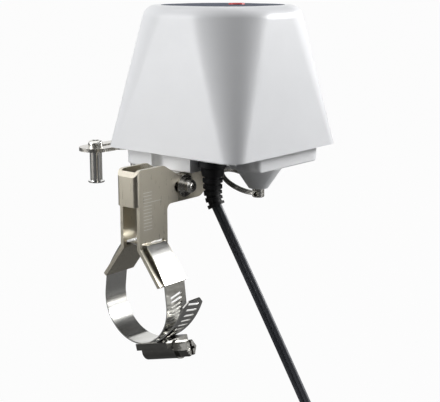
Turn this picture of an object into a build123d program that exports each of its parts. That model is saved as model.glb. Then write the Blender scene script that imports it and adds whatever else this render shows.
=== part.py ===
from build123d import *
import math
import os

os.makedirs("parts", exist_ok=True)

# A motorised lever-valve controller that clamps round a pipe fitting.
# The origin is the centre of the clamp. +X runs along the gripped fitting, +Z is up.

# Clamp, a worm-drive band round the fitting
grip_diameter = 42.0
band_width = 14.2
band_thickness = 0.7
band_through_z = 30.2
tail_tip = (-32.6, 6.8)
tail_leaves_at = 246.0
tail_chamfer = 3.0
tail_slots = 10
lap_hidden = 12.0
first_slot_angle = 163
slot_step = 6
slot_width = 1.1
slot_length = 8.0
slot_slant = 12.0
housing_angle = 254.0
housing_length = 21.8
housing_shift = 5.0
housing_width = 15.8
housing_wall = 1.0
saddle_height = 3.4
cheek_gap = 0.2
end_wall = 1.2
worm_window = 12.0
worm_diameter = 7.4
worm_radius = 26.6
clamp_head_flats = 7.5
clamp_head_length = 7.4
clamp_head_flange = 10.0

# Bracket, one folded sheet
sheet = 2.0
leg_width = 20.0
leg_outer = 6.7
leg_top = 68.7
fold_radius = 0.4
fold_bottom = 50.4
fold_top = 65.3
top_start = -9.6
top_end = 8.0
slope_end = 18.5
foot_start_z = 29.0
foot_run = 12.8
foot_drop = 16.5
band_slot_width = 15.4
band_slot_height = 2.6
arm_end_x = 40.0
arm_top = 62.5
arm_bottom = 48.8
inner_corner = 3.0
adjust_travel = 5.0
channel_sheet = 1.5

# Controller body
body_x = 62.0
rim_z = 72.0
rim_side = 90.9
rim_corner = 9.3
side_draw = 14.1
top_side = rim_side - side_draw
top_corner = 33.0
cover_height = 74.0
top_edge_radius = 7.0
cover_wall = 3.4
rim_wall = 2.2
rim_depth = 3.5
top_wall = 3.4
gasket_width = 2.8
cover_boss = 8.4
boss_length = 34.0
screw_grip = 9.0
panel_margin = 16.8
panel_side = top_side - panel_margin
panel_corner = 24.0
panel_thickness = 0.8
button_x = 9.0
button_y = -2.0
button_diameter = 8.6
button_flange = 1.0
button_proud = 0.8
button_travel = 0.6
board_side = panel_side - 6.0
board_thickness = 1.6
board_drop = 10.4
board_screw = 2.4
board_screw_grip = 5.0
board_boss = 6.0
board_inset = 6.0
board_corner = 4.0
switch_height = 3.5
radio_place = (-12.0, 6.0)
radio_width = 16.0
radio_length = 24.0
radio_can = 14.0
radio_can_height = 2.2
radio_board = 0.8
base_step = 13.5
base_side = rim_side - base_step
base_half = base_side / 2
base_corner = 9.0
base_depth = 9.0
base_wall = 2.5
flange_thickness = 2.5
notch_x = 20.0 - base_half
notch_round = 3.0
notch_y = -10.3
notch_floor = 2.0
arm_recess = 2.7
arm_recess_margin = 10.5
scallop_y = 11.8
scallop_radius = 4.6
base_edge = 0.8
screw_inset = 7.2
screw_head = 5.8
screw_head_height = 2.0

# Clearances
slip = 0.2
running = 0.05
loose = 0.1

# Bracket bolt and mounting channel
bolt_diameter = 5.0
bolt_x = 23.0
bolt_z = 56.5
channel_outer = leg_outer - sheet - slip
channel_start = 14.5
channel_end = 47.0
ear_bottom = 50.0
washer_diameter = 11.6
washer_thickness = 1.0
spring_washer_diameter = 8.6
spring_washer_thickness = 1.2
bolt_head = 6.8
bolt_head_height = 4.0
nut_flats = 8.0
nut_height = 4.8
ear_corner = 3.0
tab_start = 34.0
tab_end = 42.0
tab_top = 69.6
small_screw = 3.0
channel_screw_x = (32.5, 43.5)
channel_screw_length = 4.5

# Output arm and its two posts
shaft_diameter = 10.0
bush_wall = 2.0
arm_thickness = 2.0
arm_width = 18.0
arm_clearance = 0.5
arm_hub = 20.0
arm_neck = 5.0
arm_screw_diameter = 4.0
arm_screw_length = 9.0
arm_screw_flats = 7.0
arm_screw_head = 2.8
arm_washer = 12.0
post_screw_head = 8.4
post_screw_height = 3.6
post_screw_depth = 9.0
head_reach = 77.0
head_half = 21.0
head_radius = 9.4
post_diameter = 7.0
post_length = 18.6
post_flange = 9.4
post_screw = 4.0
post_slot_in = 8.0
post_slot_out = 22.0
left_post = -21.0
right_post = 12.0

# Clutch pull under the base
clutch_x = -2.2
clutch_y = 12.7 - base_half
boss_top_radius = 12.6
boss_low_radius = 5.2
boss_height = 11.0
pin_diameter = 6.4
pin_reach = 5.0
collar_thickness = 2.0
stem_diameter = 4.0
stem_length = 2.4
spring_wire = 0.9
pocket_floor = 4.0
collar_diameter = 9.0
ring_strand = 1.0
ring_strand_pitch = 0.9
ring_settle = 0.24
ring_radius = 11.0
ring_lift = 27.0
ring_turn = 100.0
ring_eye = 3.4

# Gear train
gear_module = 1.0
pressure_angle = 25.0
backlash = 0.16
output_teeth = 40
idler_small_teeth = 14
idler_large_teeth = 28
pinion_teeth = 12
gear_thickness = 5.0
gear_lift = 3.5
gear_hub = 1.6
idler_large_thickness = 4.0
plate_gap = 2.5
plate_side = base_side - 17.4
pillar_inset = 8.0
pillar_reach = 10.0
pillar_front = 4.5
pillar_diameter = 6.0
motor_shaft_diameter = 2.3
motor_nose = 7.0
journal_diameter = 6.0
idler_direction = 62.0
motor_direction = 200.0
axle_diameter = 3.0
plate_thickness = 2.0
motor_diameter = 24.4
motor_length = 30.0
motor_end = 2.0
rotor_diameter = 16.0
rotor_length = 18.0
rotor_start = 5.0

# Cable gland and flat twin lead
gland_x = body_x - base_half + 8.7
gland_y = 20.7 - base_half
gland_flange = 14.8
gland_stub = 10.0
gland_neck = 10.8
gland_tip = 9.0
gland_length = 24.5
gland_flange_height = 3.5
gland_neck_height = 5.0
gland_ribs = 5
gland_groove = 1.0
gland_nut_height = 3.0
gland_bent = 9.6
gland_bend = 27.2
lead_core = 2.9
lead_core_offset = 1.35
lead_direction = -75.0
lead_run = 114.0
lead_end_reach = 64.5
lead_end_z = -78.0
socket_diameter = 9.5
socket_length = 24.0
socket_bore = 6.3
socket_pin = 2.0
socket_depth = 9.5

top_z = rim_z + cover_height
base_bottom = rim_z - base_depth
flange_top = rim_z + flange_thickness


def body_plane(z, x=0.0, y=0.0):
    """A level plane at height z, placed from the output axis."""
    return Plane(origin=(body_x + x, y, z))


def save(builder, label):
    builder.part.label = label
    export_step(builder.part, "parts/" + label + ".step")


# Bracket legs and arms: a U in plan, cut to its side outline
leg_left = -leg_width / 2
leg_right = leg_width / 2
plan_left = leg_left - sheet - fold_radius
arm_middle = (arm_top + arm_bottom) / 2
arm_half = (arm_top - arm_bottom) / 2
foot_length = math.hypot(foot_run, foot_drop)
foot_bend = math.atan2(foot_run, foot_drop)
foot_mitre = sheet * math.tan(foot_bend / 2)
leg_bottom = foot_start_z - foot_mitre
adjust_slot = 2 * adjust_travel + bolt_diameter + 0.4

with BuildPart() as mounting_bracket:
    with BuildSketch(Plane.XY.offset(leg_bottom)):
        with Locations(((plan_left + arm_end_x) / 2, 0)):
            Rectangle(arm_end_x - plan_left, 2 * leg_outer)
        with Locations(((plan_left + sheet + arm_end_x + 1) / 2, 0)):
            Rectangle(arm_end_x + 1 - plan_left - sheet, 2 * (leg_outer - sheet), mode=Mode.SUBTRACT)
    extrude(amount=leg_top - leg_bottom)
    fold_edges = mounting_bracket.edges().filter_by(Axis.Z).sort_by(Axis.X)
    fillet(fold_edges[0:2], fold_radius + sheet)
    inner_edges = mounting_bracket.edges().filter_by(Axis.Z).filter_by_position(
        Axis.X, plan_left + sheet - 0.01, plan_left + sheet + 0.01)
    fillet(inner_edges, fold_radius)
    with BuildSketch(Plane.XZ) as side_outline:
        with BuildLine():
            Polyline((plan_left, fold_bottom), (plan_left, fold_top), (top_start, leg_top),
                     (top_end, leg_top), (slope_end, arm_top), (arm_end_x - arm_half, arm_top),
                     (arm_end_x - arm_half, arm_bottom), (leg_right, arm_bottom),
                     (leg_right, leg_bottom), (leg_left, leg_bottom), (leg_left, fold_bottom), close=True)
        make_face()
        with Locations((arm_end_x - arm_half, arm_middle)):
            Circle(arm_half)
        leg_corners = side_outline.vertices().filter_by_position(
            Axis.X, leg_right - 0.01, leg_right + 0.01)
        fillet(leg_corners.filter_by_position(Axis.Y, arm_bottom - 0.01, arm_bottom + 0.01), inner_corner)
        top_corners = side_outline.vertices().filter_by_position(Axis.Y, leg_top - 0.01, leg_top + 0.01)
        fillet(top_corners, inner_corner)
    extrude(amount=2 * leg_outer, both=True, mode=Mode.INTERSECT)
    for side in (-1, 1):
        foot_plane = Plane(origin=(0, side * leg_outer, foot_start_z), x_dir=(1, 0, 0),
                           z_dir=(0, side * foot_drop, foot_run))
        with BuildSketch(foot_plane):
            with Locations((0, side * (foot_length - foot_mitre) / 2)):
                Rectangle(leg_width, foot_length + foot_mitre)
        extrude(amount=-sheet)
    # Each leg has a slot that the band passes through and a slot for the bolt
    with BuildSketch(Plane.XZ):
        with Locations((0, band_through_z + band_thickness / 2)):
            Rectangle(band_slot_width, band_slot_height)
        with Locations((bolt_x, bolt_z)):
            SlotOverall(adjust_slot, bolt_diameter + 0.4)
    extrude(amount=2 * leg_outer, both=True, mode=Mode.SUBTRACT)
save(mounting_bracket, "mounting_bracket")

# Clamp band: through both legs, down past the feet and round the fitting
grip_radius = grip_diameter / 2
foot_end_y = leg_outer + foot_run
foot_end_z = foot_start_z - foot_drop
band_corner_y = leg_outer + 1.2
touch_angle = math.atan2(foot_end_z, foot_end_y) - math.acos(
    grip_radius / math.hypot(foot_end_y, foot_end_z))
touch_y = grip_radius * math.cos(touch_angle)
touch_z = grip_radius * math.sin(touch_angle)
bulge = 0.5
foot_gap = 0.1
bulge_y = (band_corner_y + foot_end_y) / 2 + bulge
bulge_z = (band_through_z + foot_end_z) / 2 + bulge
band_outer = grip_radius + band_thickness
lap_outer = band_outer + band_thickness


def ring_point(radius, degrees):
    """A point round the clamp axis, in Y and Z, counted from +Y towards +Z."""
    turn = math.radians(degrees)
    return (radius * math.cos(turn), radius * math.sin(turn))


def ring_plane(radius, degrees):
    """A plane that faces outward from the clamp axis, with its x along the axis."""
    y, z = ring_point(radius, degrees)
    return Plane(origin=(0, y, z), x_dir=(1, 0, 0), z_dir=(0, y, z))


def sheet_plane(edge, share):
    """A plane across the tail's thickness at a share of its length."""
    point = edge @ share
    along = edge % share
    return Plane(origin=(0, point.X, point.Y), x_dir=(1, 0, 0), z_dir=(0, along.Y, -along.X))


def clamp_path():
    """The band's inner line: level through the legs, over the feet, round the fitting."""
    foot_y = foot_end_y + foot_gap
    Line((-band_corner_y, band_through_z), (band_corner_y, band_through_z))
    ThreePointArc((band_corner_y, band_through_z), (bulge_y, bulge_z), (foot_y, foot_end_z))
    Line((foot_y, foot_end_z), (touch_y, touch_z))
    ThreePointArc((touch_y, touch_z), (0, -grip_radius), (-touch_y, touch_z))
    Line((-touch_y, touch_z), (-foot_y, foot_end_z))
    ThreePointArc((-foot_y, foot_end_z), (-bulge_y, bulge_z), (-band_corner_y, band_through_z))


with BuildPart() as clamp_band:
    with BuildSketch(Plane.YZ.offset(-band_width / 2)):
        with BuildLine():
            clamp_path()
        make_face()
        offset(amount=band_thickness)
        with BuildLine():
            clamp_path()
        make_face(mode=Mode.SUBTRACT)
    extrude(amount=band_width)
    # The free end laps the band inside the housing and stands off as a tail
    lap_end_at = housing_angle + lap_hidden
    lap_middle_at = (tail_leaves_at + lap_end_at) / 2
    lap_start = ring_point(band_outer - 0.01, tail_leaves_at)
    lap_end = ring_point(band_outer - 0.01, lap_end_at)
    lap_middle = ring_point(band_outer - 0.01, lap_middle_at)
    leave = math.radians(tail_leaves_at)
    with BuildSketch(Plane.YZ.offset(-band_width / 2)):
        with BuildLine():
            inner_lap = ThreePointArc(lap_end, lap_middle, lap_start)
            inner_tail = TangentArc(lap_start, tail_tip, tangent=(math.sin(leave), -math.cos(leave)))
            tip_along = inner_tail % 1
            tip_out = (tail_tip[0] - band_thickness * tip_along.Y,
                       tail_tip[1] + band_thickness * tip_along.X)
            Line(tail_tip, tip_out)
            outer_start = ring_point(lap_outer, tail_leaves_at)
            TangentArc(outer_start, tip_out, tangent=(math.sin(leave), -math.cos(leave)))
            ThreePointArc(outer_start, ring_point(lap_outer, lap_middle_at), ring_point(lap_outer, lap_end_at))
            Line(ring_point(lap_outer, lap_end_at), lap_end)
        make_face()
    extrude(amount=band_width)
    tip_edges = clamp_band.edges().filter_by(Axis.X, reverse=True).filter_by(GeomType.LINE)
    tip_edges = tip_edges.filter_by(lambda edge: edge.length < band_thickness * 1.2)
    tip_corners = tip_edges.sort_by(lambda edge: (edge.center() - Vector(0, *tail_tip)).length)[0:2]
    chamfer(tip_corners, tail_chamfer)
    # Slanted slots that the worm's thread runs in
    for share in [(count + 0.7) / (tail_slots + 0.4) for count in range(tail_slots)]:
        with BuildSketch(sheet_plane(inner_tail, share)):
            Rectangle(slot_length, slot_width, rotation=slot_slant)
        extrude(amount=2 * band_thickness, both=True, mode=Mode.SUBTRACT)
    for degrees in range(first_slot_angle, int(tail_leaves_at) - 2, slot_step):
        with BuildSketch(ring_plane(grip_radius, degrees)):
            Rectangle(slot_length, slot_width, rotation=slot_slant)
        extrude(amount=2 * band_thickness, mode=Mode.SUBTRACT)
save(clamp_band, "clamp_band")

# Worm housing: a domed block that stands on the lap, with cheeks beside the band
worm_y, worm_z = ring_point(worm_radius, housing_angle)
turn_in = math.radians(housing_angle)
worm_axis = (0, math.sin(turn_in), -math.cos(turn_in))
housing_plane = Plane(origin=(0, worm_y, worm_z), x_dir=(1, 0, 0), z_dir=worm_axis)
housing_base = worm_radius - grip_radius - cheek_gap
housing_start = housing_shift - housing_length / 2
housing_end = housing_start + housing_length

with BuildPart() as worm_housing:
    with BuildSketch(housing_plane.offset(housing_start)):
        Circle(worm_diameter / 2 + housing_wall)
        with Locations((0, housing_base / 2)):
            Rectangle(worm_diameter + 2 * housing_wall, housing_base)
        with Locations((0, housing_base - saddle_height / 2)):
            Rectangle(housing_width, saddle_height)
    extrude(amount=housing_length)
    with BuildSketch(Plane.YZ.offset(-band_width / 2 - running)):
        Circle(lap_outer + running)
    extrude(amount=band_width + 2 * running, mode=Mode.SUBTRACT)
    # The tail leaves straight under the head end
    with BuildSketch(ring_plane(lap_outer + running, tail_leaves_at)):
        with Locations((0, housing_length / 2)):
            Rectangle(band_width + 2 * running, housing_length)
    extrude(amount=-saddle_height, mode=Mode.SUBTRACT)
    with BuildSketch(housing_plane.offset(housing_start + end_wall)):
        Circle(worm_diameter / 2 + running)
    extrude(amount=housing_length, mode=Mode.SUBTRACT)
    # The worm reaches the band through a window
    with BuildSketch(housing_plane.offset(housing_start + end_wall)):
        with Locations((0, housing_base / 2)):
            Rectangle(worm_diameter * 0.8, housing_base)
    extrude(amount=worm_window, mode=Mode.SUBTRACT)
save(worm_housing, "worm_housing")

with BuildPart() as clamp_screw:
    with BuildSketch(housing_plane.offset(housing_start + end_wall + 0.3)):
        Circle(worm_diameter / 2)
    extrude(amount=housing_length - end_wall)
    with BuildSketch(housing_plane.offset(housing_end + 0.3)):
        Circle(clamp_head_flange / 2)
    extrude(amount=1.0)
    with BuildSketch(housing_plane.offset(housing_end + 1.3)):
        RegularPolygon(clamp_head_flats / 2, 6, major_radius=False)
    extrude(amount=clamp_head_length)
    chamfer(clamp_screw.faces().sort_by(Axis(housing_plane.origin, worm_axis))[-1].edges(), 0.5)
    with BuildSketch(housing_plane.offset(housing_end + clamp_head_length - 0.3)):
        Rectangle(1.4, clamp_head_flats + 1)
        Rectangle(clamp_head_flats * 0.6, 1.4)
    extrude(amount=2.0, mode=Mode.SUBTRACT)
save(clamp_screw, "clamp_screw")

# Mounting channel: two ears between the bracket's arms under a web on the base
ear_inner = channel_outer - channel_sheet

with BuildPart() as mounting_channel:
    with BuildSketch(Plane.YZ.offset(channel_start)):
        with Locations((0, (base_bottom + ear_bottom) / 2)):
            Rectangle(2 * channel_outer, base_bottom - ear_bottom)
        with Locations((0, (base_bottom - channel_sheet + ear_bottom - 1) / 2)):
            Rectangle(2 * ear_inner, base_bottom - channel_sheet - ear_bottom + 1, mode=Mode.SUBTRACT)
    extrude(amount=channel_end - channel_start)
    low_corners = mounting_channel.edges().filter_by(Axis.Y).filter_by_position(
        Axis.Z, ear_bottom - 0.1, ear_bottom + 0.1)
    fillet(low_corners, ear_corner)
    # The near ear runs up beside the notch as a stop
    with BuildSketch(Plane.XZ.offset(ear_inner)):
        with Locations(((tab_start + tab_end) / 2, (base_bottom - channel_sheet + tab_top) / 2)):
            Rectangle(tab_end - tab_start, tab_top - base_bottom + channel_sheet)
    extrude(amount=channel_sheet)
    with BuildSketch(Plane.XZ):
        with Locations((bolt_x, bolt_z)):
            Circle(bolt_diameter / 2 + 0.1)
    extrude(amount=2 * leg_outer, both=True, mode=Mode.SUBTRACT)
    with BuildSketch(Plane.XY.offset(base_bottom)):
        with Locations(*[(x, 0) for x in channel_screw_x]):
            Circle(small_screw / 2 + 0.2)
    extrude(amount=-2 * channel_sheet, mode=Mode.SUBTRACT)
save(mounting_channel, "mounting_channel")


def pan_screw(plane, shank, length, head, head_height, cross=True):
    """A cross-recess pan-head screw; the plane lies under the head and faces outward."""
    with BuildPart() as screw:
        with BuildSketch(plane):
            Circle(head / 2)
        extrude(amount=head_height)
        top = screw.faces().sort_by(Axis(plane.origin, plane.z_dir))[-1]
        fillet(top.edges(), head_height * 0.45)
        if cross:
            with BuildSketch(plane.offset(head_height * 0.45)):
                Rectangle(head * 0.58, head * 0.15)
                Rectangle(head * 0.15, head * 0.58)
            extrude(amount=head_height, mode=Mode.SUBTRACT)
        with BuildSketch(plane):
            Circle(shank / 2)
        extrude(amount=-length)
    return screw.part


def joined(parts):
    """Several equal pieces as one group of separate solids."""
    with BuildPart() as group:
        for piece in parts:
            add(piece)
    return group


# Bolt through arms and ears, with washers and a lock nut
head_seat_y = -leg_outer - washer_thickness - spring_washer_thickness
nut_seat_y = leg_outer + washer_thickness
bolt_plane = Plane(origin=(bolt_x, head_seat_y, bolt_z), x_dir=(1, 0, 0), z_dir=(0, -1, 0))

with BuildPart() as bracket_bolt:
    add(pan_screw(bolt_plane, bolt_diameter, nut_seat_y - head_seat_y + nut_height + 0.6,
                  bolt_head, bolt_head_height))
save(bracket_bolt, "bracket_bolt")

with BuildPart() as flat_washers:
    for seat_y in (-leg_outer, leg_outer + washer_thickness):
        with BuildSketch(Plane(origin=(bolt_x, seat_y, bolt_z), x_dir=(1, 0, 0), z_dir=(0, -1, 0))):
            Circle(washer_diameter / 2)
            Circle(bolt_diameter / 2 + running, mode=Mode.SUBTRACT)
        extrude(amount=washer_thickness)
save(flat_washers, "flat_washers")

with BuildPart() as spring_washer:
    with BuildSketch(bolt_plane):
        Circle(spring_washer_diameter / 2)
        Circle(bolt_diameter / 2 + running, mode=Mode.SUBTRACT)
        with Locations((0, spring_washer_diameter / 2)):
            Rectangle(0.8, spring_washer_diameter, mode=Mode.SUBTRACT)
    extrude(amount=-spring_washer_thickness)
save(spring_washer, "spring_washer")

with BuildPart() as lock_nut:
    nut_plane = Plane(origin=(bolt_x, nut_seat_y, bolt_z), x_dir=(1, 0, 0), z_dir=(0, 1, 0))
    with BuildSketch(nut_plane):
        RegularPolygon(nut_flats / 2, 6, major_radius=False)
    extrude(amount=nut_height * 0.75)
    with BuildSketch(nut_plane):
        Circle(nut_flats / 2 - 0.2)
    extrude(amount=nut_height)
    with BuildSketch(nut_plane):
        Circle(bolt_diameter / 2)
    extrude(amount=nut_height, mode=Mode.SUBTRACT)
save(lock_nut, "lock_nut")

# Base: a flange that closes the cover and a shallower block under it
flange_half = rim_side / 2 - rim_wall - slip
boss_place = base_half - screw_inset
screw_places = [(x, y) for x in (-boss_place, boss_place) for y in (-boss_place, boss_place)]
recess_roof = base_bottom + arm_recess


def patch(left, right, front, back, mode=Mode.ADD):
    """A rectangle given by its four sides."""
    with Locations(((left + right) / 2, (front + back) / 2)):
        Rectangle(right - left, back - front, mode=mode)


with BuildPart() as base_housing:
    with BuildSketch(body_plane(base_bottom)):
        RectangleRounded(base_side, base_side, base_corner)
        with Locations((-base_half, scallop_y)):
            Circle(scallop_radius, mode=Mode.SUBTRACT)
    extrude(amount=base_depth)
    fillet(base_housing.faces().sort_by(Axis.Z)[0].edges(), base_edge)
    # Notch for the gland in the front corner, with a step beside the channel's tab
    with BuildSketch(body_plane(base_bottom - 1)):
        patch(-base_half, notch_x, -base_half, notch_y)
        patch(tab_start - 1 - body_x, notch_x, -base_half, -ear_inner)
    extrude(amount=base_depth + 1 - notch_floor, mode=Mode.SUBTRACT)
    notch_edges = base_housing.edges().filter_by(Axis.Z).sort_by_distance(
        (body_x + notch_x, -base_half, base_bottom + base_depth / 2))
    fillet(notch_edges[0], notch_round)
    # Recess that the arm swings through, a quarter turn from +Y to +X
    with BuildSketch(body_plane(base_bottom - 1)):
        Circle(arm_recess_margin)
        patch(0, base_half, 0, base_half)
        patch(-arm_recess_margin, arm_recess_margin, 0, base_half)
        patch(0, base_half, -arm_recess_margin, arm_recess_margin)
    extrude(amount=arm_recess + 1, mode=Mode.SUBTRACT)
    with BuildSketch(body_plane(rim_z)):
        RectangleRounded(2 * flange_half, 2 * flange_half, rim_corner - rim_wall)
    extrude(amount=flange_thickness)
    # Hollow above the floor, around the centre tube and clear of the notch
    with BuildSketch(body_plane(recess_roof + base_wall)):
        RectangleRounded(base_side - 2 * base_wall, base_side - 2 * base_wall, base_corner - base_wall)
        with Locations((-base_half, scallop_y)):
            Circle(scallop_radius + base_wall, mode=Mode.SUBTRACT)
        patch(-base_half, notch_x + base_wall, -base_half, base_wall - ear_inner, Mode.SUBTRACT)
        Circle(shaft_diameter / 2 + bush_wall + base_wall, mode=Mode.SUBTRACT)
        with Locations(*screw_places):
            Circle(screw_head / 2 + 2.5, mode=Mode.SUBTRACT)
        with Locations((clutch_x, clutch_y)):
            Circle(collar_diameter / 2 + base_wall, mode=Mode.SUBTRACT)
        with Locations(*[(x - body_x, 0) for x in channel_screw_x]):
            Circle(small_screw / 2 + 2, mode=Mode.SUBTRACT)
    extrude(amount=base_depth, mode=Mode.SUBTRACT)
    # Clutch boss hanging under the base
    with BuildSketch(Plane(origin=(body_x + clutch_x, clutch_y, 0), x_dir=(1, 0, 0), z_dir=(0, -1, 0))):
        with BuildLine():
            Polyline((0, base_bottom + 1), (0, base_bottom - boss_height),
                     (boss_low_radius, base_bottom - boss_height),
                     (boss_top_radius, base_bottom), (boss_top_radius, base_bottom + 1), close=True)
        make_face()
    revolve(axis=Axis((body_x + clutch_x, clutch_y, 0), (0, 0, 1)))
    with BuildSketch(body_plane(base_bottom - boss_height - 1, clutch_x, clutch_y)):
        Circle(pin_diameter / 2 + running)
    extrude(amount=base_depth + boss_height + 5, mode=Mode.SUBTRACT)
    with BuildSketch(body_plane(base_bottom - boss_height + pocket_floor, clutch_x, clutch_y)):
        Circle(collar_diameter / 2 + slip)
    extrude(amount=base_depth + boss_height, mode=Mode.SUBTRACT)
    # Bores: output bush, gland, cover screws and channel screws
    with BuildSketch(body_plane(base_bottom)):
        Circle(shaft_diameter / 2 + bush_wall)
    extrude(amount=base_depth + 5, mode=Mode.SUBTRACT)
    with BuildSketch(Plane.XY.offset(base_bottom)):
        with Locations((gland_x, gland_y)):
            Circle(gland_stub / 2 + loose)
    extrude(amount=base_depth + 5, mode=Mode.SUBTRACT)
    with BuildSketch(body_plane(base_bottom - 1)):
        with Locations(*screw_places):
            Circle(screw_head / 2 + 0.4)
    extrude(amount=base_depth + 1 - notch_floor, mode=Mode.SUBTRACT)
    with BuildSketch(body_plane(base_bottom)):
        with Locations(*screw_places):
            Circle(small_screw / 2 + 0.2)
    extrude(amount=base_depth + 5, mode=Mode.SUBTRACT)
    with BuildSketch(Plane.XY.offset(base_bottom)):
        with Locations(*[(x, 0) for x in channel_screw_x]):
            Circle(small_screw / 2)
    extrude(amount=channel_screw_length, mode=Mode.SUBTRACT)
save(base_housing, "base_housing")

# Cover: a tapered shell with conical corners
taper = (rim_side - top_side) / 2 / cover_height
corner_growth = (top_corner - rim_corner) / cover_height


def cover_outline(z, inset=0.0):
    """The cover's square outline at height z, drawn in by an inset."""
    side = rim_side - 2 * taper * (z - rim_z) - 2 * inset
    radius = rim_corner + corner_growth * (z - rim_z) - inset
    RectangleRounded(side, side, radius)


step_z = rim_z + rim_depth
ceiling_z = top_z - top_wall
board_top = top_z - board_drop
board_hole = board_side / 2 - board_inset
board_places = [(x, y) for x in (-board_hole, board_hole) for y in (-board_hole, board_hole)]

with BuildPart() as cover_form:
    with BuildSketch(body_plane(rim_z)):
        cover_outline(rim_z)
    with BuildSketch(body_plane(top_z)):
        cover_outline(top_z)
    loft()
    fillet(cover_form.faces().sort_by(Axis.Z)[-1].edges(), top_edge_radius)

with BuildPart() as boss_block:
    with BuildSketch(body_plane(flange_top)):
        with Locations(*screw_places):
            Circle(cover_boss / 2)
    extrude(amount=boss_length)
    with BuildSketch(body_plane(board_top)):
        with Locations(*board_places):
            Circle(board_boss / 2)
    extrude(amount=top_z - top_wall / 2 - board_top)
    add(cover_form.part, mode=Mode.INTERSECT)

with BuildPart() as top_cover:
    add(cover_form.part)
    with BuildSketch(body_plane(step_z)):
        cover_outline(step_z, cover_wall)
    with BuildSketch(body_plane(ceiling_z)):
        cover_outline(ceiling_z, cover_wall)
    loft(mode=Mode.SUBTRACT)
    with BuildSketch(body_plane(rim_z)):
        RectangleRounded(2 * (flange_half + slip), 2 * (flange_half + slip), rim_corner - rim_wall + slip)
    extrude(amount=rim_depth, mode=Mode.SUBTRACT)
    add(boss_block.part)
    with BuildSketch(body_plane(flange_top)):
        with Locations(*screw_places):
            Circle(small_screw / 2)
    extrude(amount=screw_grip, mode=Mode.SUBTRACT)
    with BuildSketch(body_plane(board_top)):
        with Locations(*board_places):
            Circle(board_screw / 2)
    extrude(amount=board_screw_grip, mode=Mode.SUBTRACT)
    with BuildSketch(body_plane(top_z - panel_thickness)):
        RectangleRounded(panel_side + slip, panel_side + slip, panel_corner)
    extrude(amount=panel_thickness + 1, mode=Mode.SUBTRACT)
    with BuildSketch(body_plane(ceiling_z - 1, button_x, button_y)):
        Circle(button_diameter / 2 + slip)
    extrude(amount=top_wall + 2, mode=Mode.SUBTRACT)
save(top_cover, "top_cover")

with BuildPart() as top_panel:
    with BuildSketch(body_plane(top_z - panel_thickness)):
        RectangleRounded(panel_side, panel_side, panel_corner)
        with Locations((button_x, button_y)):
            Circle(button_diameter / 2 + slip, mode=Mode.SUBTRACT)
    extrude(amount=panel_thickness)
save(top_panel, "top_panel")

with BuildPart() as gasket:
    with BuildSketch(body_plane(flange_top)):
        RectangleRounded(2 * flange_half, 2 * flange_half, rim_corner - rim_wall)
        RectangleRounded(2 * (flange_half - gasket_width), 2 * (flange_half - gasket_width),
                         rim_corner - rim_wall - gasket_width / 2, mode=Mode.SUBTRACT)
    extrude(amount=step_z - flange_top)
save(gasket, "cover_gasket")

cover_screws = joined([
    pan_screw(Plane(origin=(body_x + x, y, rim_z - notch_floor), x_dir=(1, 0, 0), z_dir=(0, 0, -1)),
              small_screw, notch_floor + flange_thickness + screw_grip - 1, screw_head, screw_head_height)
    for x, y in screw_places])
save(cover_screws, "cover_screws")

channel_screws = joined([
    pan_screw(Plane(origin=(x, 0, base_bottom - channel_sheet), x_dir=(1, 0, 0), z_dir=(0, 0, -1)),
              small_screw, channel_sheet + channel_screw_length - 0.5, screw_head, screw_head_height)
    for x in channel_screw_x])
save(channel_screws, "channel_screws")

# Control board under the top, with its switch and radio module
with BuildPart() as control_board:
    with BuildSketch(body_plane(board_top)):
        RectangleRounded(board_side, board_side, board_corner)
        with Locations(*board_places):
            Circle(board_screw / 2 + 0.2, mode=Mode.SUBTRACT)
    extrude(amount=-board_thickness)
save(control_board, "control_board")

board_screws = joined([
    pan_screw(Plane(origin=(body_x + x, y, board_top - board_thickness), x_dir=(1, 0, 0), z_dir=(0, 0, -1)),
              board_screw, board_thickness + board_screw_grip - 0.5, 4.4, 1.6)
    for x, y in board_places])
save(board_screws, "board_screws")

with BuildPart() as button_switch:
    with BuildSketch(body_plane(board_top, button_x, button_y)):
        RectangleRounded(6, 6, 0.5)
    extrude(amount=switch_height)
save(button_switch, "button_switch")

with BuildPart() as radio_module:
    radio_x, radio_y = radio_place
    with BuildSketch(body_plane(board_top, radio_x, radio_y)):
        Rectangle(radio_width, radio_length)
    extrude(amount=radio_board)
    can_y = radio_y - (radio_length - radio_width) / 2 + 1
    with BuildSketch(body_plane(board_top + radio_board, radio_x, can_y)):
        RectangleRounded(radio_can, radio_width, 1)
    extrude(amount=radio_can_height)
save(radio_module, "radio_module")

with BuildPart() as push_button:
    with BuildSketch(body_plane(ceiling_z - button_flange - button_travel / 2, button_x, button_y)):
        Circle(button_diameter / 2 + 1.2)
    extrude(amount=button_flange)
    with BuildSketch(body_plane(ceiling_z - button_flange - button_travel / 2, button_x, button_y)):
        Circle(button_diameter / 2)
    extrude(amount=top_wall + button_flange + button_travel / 2 + button_proud)
    fillet(push_button.faces().sort_by(Axis.Z)[-1].edges(), 0.6)
    with BuildSketch(body_plane(board_top + switch_height + button_travel + 0.1, button_x, button_y)):
        Circle(2.0)
    extrude(until=Until.NEXT)
save(push_button, "push_button")

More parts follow.
